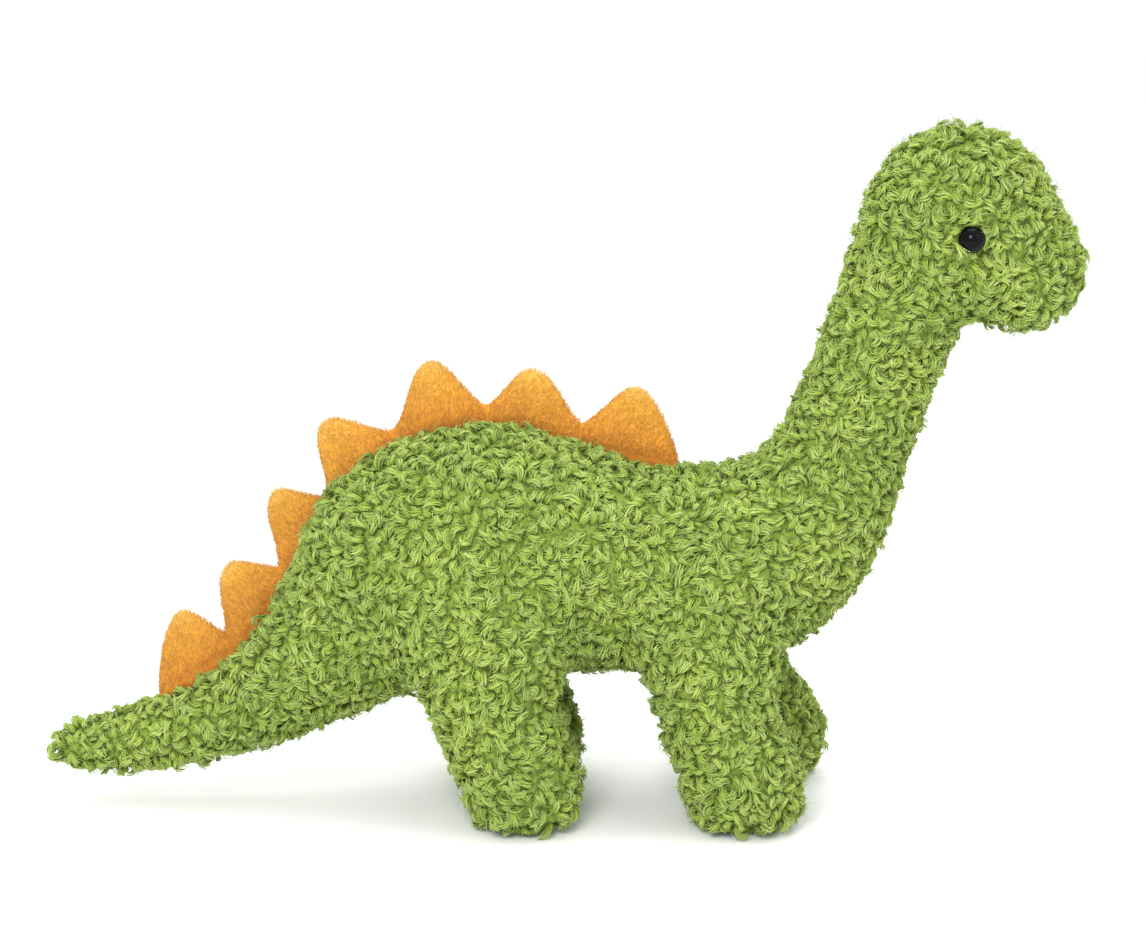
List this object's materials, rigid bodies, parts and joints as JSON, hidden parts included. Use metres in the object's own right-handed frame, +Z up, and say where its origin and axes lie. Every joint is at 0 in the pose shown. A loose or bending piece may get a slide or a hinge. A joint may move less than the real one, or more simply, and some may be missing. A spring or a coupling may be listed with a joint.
{
  "type": "stuffed dinosaur",
  "caption": "Plush long-necked dinosaur standing on four stuffed legs, with a row of stuffed spikes along its back and tail, in curly pile fabric with glossy domed eyes.",
  "frame": {"origin": "on the ground, under the middle of the box round the whole toy", "axes": "+X towards the head, +Y towards its left side, +Z up"},
  "size_m": [0.36, 0.1032, 0.241],
  "materials": {
    "curly_pile_green": "curly tufted pile fabric, moss green",
    "short_pile_orange": "short smooth pile fabric, ochre orange",
    "fibre_filling": "loose white fibre filling",
    "eye_gloss": "polished black",
    "washer_plastic": "plain white"
  },
  "bodies": {
    "torso": {"belly_gusset": "curly_pile_green", "torso_filling": "fibre_filling", "torso_panel_left": "curly_pile_green", "torso_panel_right": "curly_pile_green"},
    "head": {"eye_left": "eye_gloss", "eye_right": "eye_gloss", "eye_washer_left": "washer_plastic", "eye_washer_right": "washer_plastic", "head_filling": "fibre_filling", "head_gusset": "curly_pile_green", "head_panel_left": "curly_pile_green", "head_panel_right": "curly_pile_green"},
    "leg_front_left": {"leg_front_left_filling": "fibre_filling", "leg_front_left_inner_panel": "curly_pile_green", "leg_front_left_outer_panel": "curly_pile_green", "leg_front_left_sole": "curly_pile_green"},
    "leg_front_right": {"leg_front_right_filling": "fibre_filling", "leg_front_right_inner_panel": "curly_pile_green", "leg_front_right_outer_panel": "curly_pile_green", "leg_front_right_sole": "curly_pile_green"},
    "leg_rear_left": {"leg_rear_left_filling": "fibre_filling", "leg_rear_left_inner_panel": "curly_pile_green", "leg_rear_left_outer_panel": "curly_pile_green", "leg_rear_left_sole": "curly_pile_green"},
    "leg_rear_right": {"leg_rear_right_filling": "fibre_filling", "leg_rear_right_inner_panel": "curly_pile_green", "leg_rear_right_outer_panel": "curly_pile_green", "leg_rear_right_sole": "curly_pile_green"},
    "neck": {"neck_filling": "fibre_filling", "neck_panel_left": "curly_pile_green", "neck_panel_right": "curly_pile_green"},
    "spike_1": {"spike_1_filling": "fibre_filling", "spike_1_panel_left": "short_pile_orange", "spike_1_panel_right": "short_pile_orange"},
    "spike_2": {"spike_2_filling": "fibre_filling", "spike_2_panel_left": "short_pile_orange", "spike_2_panel_right": "short_pile_orange"},
    "spike_3": {"spike_3_filling": "fibre_filling", "spike_3_panel_left": "short_pile_orange", "spike_3_panel_right": "short_pile_orange"},
    "spike_4": {"spike_4_filling": "fibre_filling", "spike_4_panel_left": "short_pile_orange", "spike_4_panel_right": "short_pile_orange"},
    "spike_5": {"spike_5_filling": "fibre_filling", "spike_5_panel_left": "short_pile_orange", "spike_5_panel_right": "short_pile_orange"},
    "spike_6": {"spike_6_filling": "fibre_filling", "spike_6_panel_left": "short_pile_orange", "spike_6_panel_right": "short_pile_orange"},
    "spike_7": {"spike_7_filling": "fibre_filling", "spike_7_panel_left": "short_pile_orange", "spike_7_panel_right": "short_pile_orange"},
    "tail": {"tail_filling": "fibre_filling", "tail_panel_left": "curly_pile_green", "tail_panel_right": "curly_pile_green"}
  },
  "joints": [
    {"name": "neck_bend", "type": "hinge", "parent": "torso", "child": "neck", "pos_m": [0.0876, 0, 0.1094], "axis": [0, 1, 0], "range_deg": [-25, 20], "stiffness_Nm_per_rad": 0.8},
    {"name": "head_nod", "type": "hinge", "parent": "neck", "child": "head", "pos_m": [0.113, 0, 0.176], "axis": [0, 1, 0], "range_deg": [-22, 18], "stiffness_Nm_per_rad": 0.5},
    {"name": "tail_swing", "type": "hinge", "parent": "torso", "child": "tail", "pos_m": [-0.0824, 0, 0.0582], "axis": [-0.5736, 0, 0.8192], "range_deg": [-25, 25], "stiffness_Nm_per_rad": 0.3},
    {"name": "hip_front_right", "type": "hinge", "parent": "torso", "child": "leg_front_right", "pos_m": [0.051, -0.031, 0.058], "axis": [0, -1, 0], "range_deg": [-14, 20], "stiffness_Nm_per_rad": 0.8},
    {"name": "hip_front_left", "type": "hinge", "parent": "torso", "child": "leg_front_left", "pos_m": [0.051, 0.031, 0.0584], "axis": [0, -1, 0], "range_deg": [-27, 7], "stiffness_Nm_per_rad": 0.8},
    {"name": "hip_rear_right", "type": "hinge", "parent": "torso", "child": "leg_rear_right", "pos_m": [-0.0245, -0.031, 0.058], "axis": [0, -1, 0], "range_deg": [-20, 14], "stiffness_Nm_per_rad": 0.8},
    {"name": "hip_rear_left", "type": "hinge", "parent": "torso", "child": "leg_rear_left", "pos_m": [-0.0245, 0.031, 0.058], "axis": [0, -1, 0], "range_deg": [-20, 14], "stiffness_Nm_per_rad": 0.8},
    {"name": "spike_1_flop", "type": "hinge", "parent": "torso", "child": "spike_1", "pos_m": [0.02135, 0, 0.12516], "axis": [0.9679, 0, -0.2515], "range_deg": [-16, 16], "stiffness_Nm_per_rad": 0.001},
    {"name": "spike_2_flop", "type": "hinge", "parent": "torso", "child": "spike_2", "pos_m": [-0.01232, 0, 0.13305], "axis": [0.9795, 0, -0.2016], "range_deg": [-16, 16], "stiffness_Nm_per_rad": 0.001},
    {"name": "spike_3_flop", "type": "hinge", "parent": "torso", "child": "spike_3", "pos_m": [-0.04284, 0, 0.13233], "axis": [0.9668, 0, 0.2556], "range_deg": [-16, 16], "stiffness_Nm_per_rad": 0.001},
    {"name": "spike_4_flop", "type": "hinge", "parent": "torso", "child": "spike_4", "pos_m": [-0.06834, 0, 0.11717], "axis": [0.6891, 0, 0.7246], "range_deg": [-16, 16], "stiffness_Nm_per_rad": 0.001},
    {"name": "spike_5_flop", "type": "hinge", "parent": "torso", "child": "spike_5", "pos_m": [-0.08763, 0, 0.09344], "axis": [0.564, 0, 0.8258], "range_deg": [-16, 16], "stiffness_Nm_per_rad": 0.001},
    {"name": "spike_6_flop", "type": "hinge", "parent": "tail", "child": "spike_6", "pos_m": [-0.10594, 0, 0.06852], "axis": [0.6183, 0, 0.7859], "range_deg": [-16, 16], "stiffness_Nm_per_rad": 0.001},
    {"name": "spike_7_flop", "type": "hinge", "parent": "tail", "child": "spike_7", "pos_m": [-0.13016, 0, 0.0471], "axis": [0.8524, 0, 0.5229], "range_deg": [-16, 16], "stiffness_Nm_per_rad": 0.001}
  ]
}
